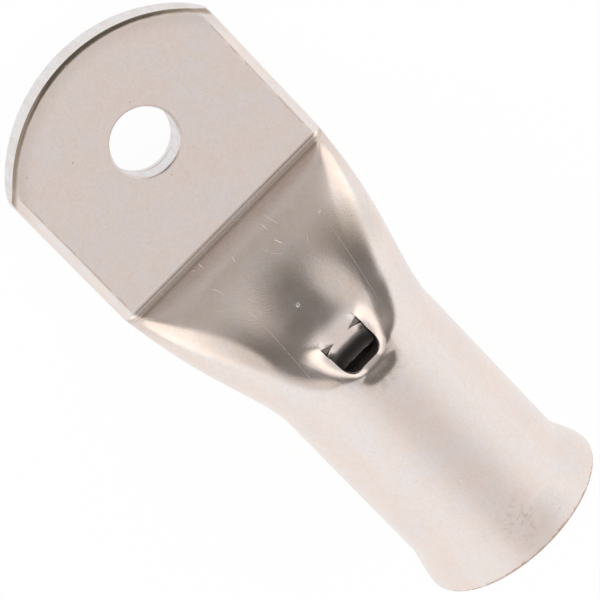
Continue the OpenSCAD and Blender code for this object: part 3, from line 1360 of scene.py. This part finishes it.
    def brown_lines_and_fold_shade(self, sheet: NodeSheet, where: Value) -> bpy.types.NodeSocket:
        """Brown lines on the palm along its rolled tip, long sides and stud hole, and painted shade
        at the fold.

        Args:
            sheet: The material's sheet.
            where: Position socket.

        Returns:
            The mask.
        """
        s = self.size
        x, y, z = sheet.split(where)
        flat = sheet.add("ShaderNodeCombineXYZ", X=x, Y=y).outputs[0]
        uneven = sheet.uneven(where, 420.0, 3.0)
        from_arc = sheet.away(flat, (s.tip_cx, 0.0, 0.0))
        reach = sheet.maths("MULTIPLY_ADD", uneven, 0.5 * MM, from_arc)
        tip = sheet.times(
            sheet.most(sheet.step(reach, s.tip_r - 0.7 * MM, s.tip_r),
                       sheet.step(reach, s.tip_r - 3.2 * MM, s.tip_r - 0.4 * MM, 0.0, 0.2)),
            sheet.maths("LESS_THAN", x, -2.0 * MM))
        # painted shade: a dark line along the fold and a fading shade on the ramp just past it
        fold = s.fold_x + 0.4 * MM
        beside = sheet.maths("ABSOLUTE", sheet.maths("SUBTRACT", x, fold))
        crease = sheet.most(
            sheet.step(beside, 0.1 * MM, 0.5 * MM, 0.42, 0.0),
            sheet.times(sheet.step(x, fold, fold + 5.4 * MM, 0.22, 0.0),
                        sheet.maths("GREATER_THAN", x, fold)))
        aside = sheet.maths("MULTIPLY_ADD", uneven, 0.25 * MM, sheet.maths("ABSOLUTE", y))
        side = sheet.times(
            self.line(sheet, aside, s.palm_w / 2 - 1.45 * MM, 0.03 * MM, 0.22 * MM, 0.42),
            sheet.maths("LESS_THAN", x, s.fold_x - 0.7 * MM),
            sheet.step(uneven, 0.38, 0.58, 0.15, 1.0))
        round_hole = sheet.maths("MULTIPLY_ADD", uneven, 0.5 * MM,
                                 sheet.away(flat, (0.0, 0.0, 0.0)))
        ring = sheet.times(
            self.line(sheet, round_hole, s.stud_d / 2 + 0.47 * MM, 0.05 * MM, 0.35 * MM, 0.5),
            sheet.step(uneven, 0.35, 0.6, 0.1, 1.0),
            sheet.step(sheet.maths("ADD", x, y), -1.0 * MM, 5.0 * MM, 0.3, 1.0))
        top = sheet.maths("GREATER_THAN", z, s.palm_t - 1.4 * MM)
        return sheet.times(sheet.most(tip, crease, side, ring), top)

    def line(self, sheet: NodeSheet, value: Value, at: float, core: float, fade: float,
             strength: float) -> bpy.types.NodeSocket:
        """Soft line where a value comes close to one level.

        Args:
            sheet: The material's sheet.
            value: The value.
            at: The level.
            core: Half width at full strength.
            fade: Half width where the line ends.
            strength: Full strength.

        Returns:
            The mask.
        """
        off = sheet.maths("ABSOLUTE", sheet.maths("SUBTRACT", value, at))
        return sheet.step(off, core, fade, strength, 0.0)

    def tongue_shade(self, sheet: NodeSheet, where: Value) -> bpy.types.NodeSocket:
        """Far half of the tongue inside the tube: painted shade in its colour, weaker at its very
        end, and a rougher finish.

        Args:
            sheet: The material's sheet.
            where: Position socket.

        Returns:
            The mask.
        """
        s = self.size
        x, y, z = sheet.split(where)
        end = CutShapes(s).tongue_path()[-1][0]
        return sheet.times(
            sheet.step(x, s.window_x1 + 1.3 * MM, s.window_x1 + 3.0 * MM),
            sheet.step(x, end - 0.1 * MM, end - 0.02 * MM, 1.0, 0.35),
            sheet.maths("LESS_THAN", z, s.barrel_od - 6 * MM),
            sheet.maths("GREATER_THAN", z, s.barrel_od / 2 - 2 * MM),
            sheet.maths("LESS_THAN", sheet.maths("ABSOLUTE", y), s.window_w / 2 + 0.1 * MM))

    def bare_copper(self, sheet: NodeSheet, where: Value) -> bpy.types.NodeSocket:
        """Thin uneven line where the plating is worn off the mouth's rim.

        Args:
            sheet: The material's sheet.
            where: Position socket.

        Returns:
            The mask.
        """
        mouth = self.size.mouth_x
        uneven = sheet.uneven(where, 1100.0, 3.0, 0.7)
        shift = sheet.maths("MULTIPLY_ADD", uneven, -0.9 * MM, sheet.split(where)[0])
        return sheet.step(shift, mouth - 1.15 * MM, mouth - 0.95 * MM, 0.0, 0.8)


@dataclass(frozen=True)
class CutEdge:
    """Sheared wall of the palm's tip, the stud hole and the window."""

    size: TubeSizes = TubeSizes()
    colour: tuple[float, float, float] = (0.85, 0.835, 0.845)
    copper: tuple[float, float, float] = (0.66, 0.47, 0.36)
    # painted shade for the window's wall below its rim
    wall_shade: tuple[float, float, float] = (0.05, 0.045, 0.04)
    roughness: float = 0.30
    rim_z: float = 20.6 * MM
    rim_climb: float = 1.37

    def window_wall_shade(self, sheet: NodeSheet, where: Value) -> bpy.types.NodeSocket:
        """Window's wall below its rim, darkened there with painted shade.

        Args:
            sheet: The material's sheet.
            where: Position socket.

        Returns:
            The mask.
        """
        s = self.size
        x, _, z = sheet.split(where)
        run = sheet.maths("SUBTRACT", x, s.window_x1)
        rim = sheet.maths("MULTIPLY_ADD", run, self.rim_climb, self.rim_z)
        return sheet.times(sheet.step(sheet.maths("SUBTRACT", rim, z), 0.4 * MM, 1.1 * MM),
                           sheet.maths("GREATER_THAN", x, s.window_x1 - 6 * MM))

    def material(self) -> bpy.types.Material:
        """Material of a sheared wall, streaked along the cut.

        Returns:
            The material.
        """
        made, sheet, where = new_finish("cut_edge")
        squeezed = sheet.add("ShaderNodeMapping", Vector=where, Scale=(1.0, 1.0, 0.12))
        clouds = sheet.place(cloud_group(), Position=squeezed.outputs[0], Patch=1.2 * MM,
                             Grain=0.16 * MM)
        patches, grains = clouds.outputs["Patches"], clouds.outputs["Grains"]
        colour = sheet.tint(sheet.times(patches, 0.22), self.colour, self.copper)
        # painted shade darkens the window's wall below its rim
        colour = sheet.tint(self.window_wall_shade(sheet, where), colour, self.wall_shade)
        rough = sheet.maths("MULTIPLY_ADD", grains, 0.12, self.roughness)
        height = sheet.maths("MULTIPLY_ADD", patches, 0.02 * MM,
                             sheet.times(grains, 0.012 * MM))
        sheet.metal(colour, rough, height)
        return made


@dataclass(frozen=True)
class DullBoreShaded:
    """Dull, thinly plated inside of the tube, with painted shade that darkens it the further it
    lies from the mouth.
    """

    size: TubeSizes = TubeSizes()
    colour: tuple[float, float, float] = (0.42, 0.39, 0.36)
    # painted shade deep in the tube
    deep_shade_colour: tuple[float, float, float] = (0.045, 0.04, 0.036)
    roughness: float = 0.42
    lit_len: float = 20.0 * MM
    lip: float = 0.4 * MM

    def material(self) -> bpy.types.Material:
        """Material of the inside.

        Returns:
            The material.
        """
        made, sheet, where = new_finish("dull_bore_shaded")
        clouds = sheet.place(cloud_group(), Position=where, Patch=3.0 * MM, Grain=0.3 * MM)
        patches, grains = clouds.outputs["Patches"], clouds.outputs["Grains"]
        lit = self.size.mouth_x - self.lip
        # painted shade: the colour darkens away from the mouth
        depth = sheet.step(sheet.split(where)[0], lit - self.lit_len, lit)
        base = sheet.tint(depth, self.deep_shade_colour, self.colour)
        colour = sheet.tint(sheet.times(patches, 0.15), base, self.colour)
        rough = sheet.maths("MULTIPLY_ADD", grains, 0.12, self.roughness)
        sheet.metal(colour, rough, sheet.times(grains, 0.01 * MM))
        return made


@dataclass(frozen=True)
class Viewpoint:
    """Camera at the photograph's viewing angle."""

    lean: float = math.radians(24.41)
    side: float = math.radians(-2.76)
    roll: float = math.radians(0.95)
    distance: float = 700.0 * MM
    focal_px: float = 4721.8
    image_px: float = 600.0
    sensor_mm: float = 36.0
    centre: tuple[float, float, float] = (40.0 * MM, 0.0, 5.0 * MM)
    centre_px: tuple[float, float] = (320.0, 323.1)

    def axes(self) -> tuple[Vector, Vector, Vector]:
        """View direction, barrel direction and cross direction in the image.

        Returns:
            The three directions.
        """
        view = Vector((-math.sin(self.lean) * math.cos(self.side), math.sin(self.side),
                       math.cos(self.lean) * math.cos(self.side)))
        barrel = (Vector((1, 0, 0)) - view * view.x).normalized()
        cross = view.cross(barrel)
        turned_barrel = barrel * math.cos(self.roll) + cross * math.sin(self.roll)
        turned_cross = cross * math.cos(self.roll) - barrel * math.sin(self.roll)
        return view, turned_barrel, turned_cross

    def build(self) -> bpy.types.Object:
        """Makes the camera; the barrel runs down to the right at 45 degrees.

        Returns:
            The camera.
        """
        view, barrel, cross = self.axes()
        right = (barrel + cross).normalized()
        up = (cross - barrel).normalized()
        scale = self.distance / self.focal_px
        across = (self.centre_px[0] - self.image_px / 2) * scale
        below = (self.centre_px[1] - self.image_px / 2) * scale
        target = Vector(self.centre) - right * across + up * below
        data = bpy.data.cameras.new("camera")
        data.sensor_width = self.sensor_mm
        data.lens = self.focal_px / self.image_px * self.sensor_mm
        data.clip_start = 0.05
        data.clip_end = 20.0
        camera = bpy.data.objects.new("camera", data)
        turn = Matrix((right, up, view)).transposed()
        camera.matrix_world = Matrix.Translation(target + view * self.distance) @ turn.to_4x4()
        bpy.context.scene.collection.objects.link(camera)
        bpy.context.scene.camera = camera
        return camera


@dataclass
class Studio:
    """White floor under a soft tent of light, open and dark above the camera side."""

    floor_half: float = 1.5
    size: TubeSizes = field(default_factory=TubeSizes)
    tent: float = 0.75
    tent_sides: float = 0.27
    low_front: float = 0.42
    opening: float = 0.19
    gap: float = 0.48
    near_lamp: float = 0.72
    lamp_way: tuple[float, float, float] = (-0.65, -0.61, 0.45)
    plain_light: tuple[float, float, float] = (1.0, 0.985, 0.98)
    cool_light: tuple[float, float, float] = (0.955, 0.985, 1.0)
    warm_light: tuple[float, float, float] = (1.0, 0.965, 0.92)

    def build(self) -> None:
        """Makes the floor and the world."""
        self.floor()
        self.world()

    def floor(self) -> None:
        """Pale floor, leaning a degree so that the lug rests on lip and tip."""
        s = self.size
        lip_z = (s.barrel_od - s.bell_od) / 2
        lean = lip_z / (s.mouth_x + s.tip_reach)
        h = self.floor_half
        corners = [(-h, -h), (h, -h), (h, h), (-h, h)]
        mesh = bpy.data.meshes.new("floor")
        mesh.from_pydata([(x, y, lean * (x + s.tip_reach) - 0.01 * MM) for x, y in corners],
                         [], [(0, 1, 2, 3)])
        made = bpy.data.objects.new("floor", mesh)
        bpy.context.scene.collection.objects.link(made)
        material = bpy.data.materials.new("floor_white")
        material.use_nodes = True
        sheet = NodeSheet(material.node_tree)
        paper = sheet.add("ShaderNodeBsdfDiffuse", Color=(0.94, 0.94, 0.94, 1.0))
        path = sheet.add("ShaderNodeLightPath")
        along = sheet.split(sheet.add("ShaderNodeTexCoord").outputs["Object"])[0]
        far = sheet.step(along, -0.12, -0.02, 0.5, 1.0)
        level = sheet.blend(path.outputs["Is Camera Ray"], far, 1.02)
        glow = sheet.add("ShaderNodeEmission", Color=(1.0, 1.0, 1.0, 1.0), Strength=level)
        share = sheet.maths("ADD", sheet.times(path.outputs["Is Camera Ray"], 0.93),
                            sheet.times(path.outputs["Is Glossy Ray"], 0.9))
        mix = sheet.add("ShaderNodeMixShader", Fac=share)
        sheet.link(paper.outputs[0], mix.inputs[1])
        sheet.link(glow.outputs[0], mix.inputs[2])
        out = sheet.add("ShaderNodeOutputMaterial")
        sheet.link(mix.outputs[0], out.inputs["Surface"])
        made.data.materials.append(material)

    def world(self) -> None:
        """Tent brighter at the sides, with an opening above the palm end."""
        world = bpy.data.worlds.new("tent")
        bpy.context.scene.world = world
        world.use_nodes = True
        sheet = NodeSheet(world.node_tree)
        where = sheet.add("ShaderNodeTexCoord").outputs["Generated"]
        x, y, up = sheet.split(where)
        front = sheet.times(x, -1.0)
        side = sheet.maths("ABSOLUTE", y)
        level = sheet.step(side, 0.1, 0.9, self.tent, self.tent + self.tent_sides)
        low = sheet.times(sheet.step(front, 0.15, 0.5), sheet.step(up, 0.62, 0.35))
        level = sheet.maths("MULTIPLY_ADD", low, self.low_front, level)
        between = sheet.times(sheet.step(front, 0.55, 0.8),
                              sheet.step(side, 0.10, 0.37, 1.0, 0.0))
        level = sheet.blend(between, level, self.gap)
        lamp = sheet.vector("DOT_PRODUCT", where, self.lamp_way)
        near = sheet.step(lamp.outputs["Value"], 0.883, 0.913, self.opening, self.near_lamp)
        hole = sheet.times(sheet.step(front, 0.20, 0.44), sheet.step(up, 0.22, 0.68))
        level = sheet.blend(hole, level, near)
        path = sheet.add("ShaderNodeLightPath")
        level = sheet.blend(path.outputs["Is Camera Ray"], level, 1.0)
        warm = sheet.times(sheet.step(front, 0.2, 0.5),
                           sheet.maths("SUBTRACT", 1.0, path.outputs["Is Camera Ray"]))
        cool = sheet.tint(sheet.step(side, 0.25, 0.85), self.plain_light, self.cool_light)
        colour = sheet.tint(warm, cool, self.warm_light)
        glow = sheet.add("ShaderNodeBackground", Color=colour, Strength=level)
        out = sheet.add("ShaderNodeOutputWorld")
        sheet.link(glow.outputs[0], out.inputs["Surface"])


def main() -> None:
    """Builds the lug, the studio and the camera."""
    logging.basicConfig(level=logging.INFO, format="%(name)s: %(message)s")
    bpy.context.scene.view_settings.view_transform = "Standard"
    Viewpoint().build()
    Studio().build()
    lug = TubeLug().build()
    LOG.info("%s has %d faces", lug.name, len(lug.data.polygons))


if __name__ == "__main__":
    main()
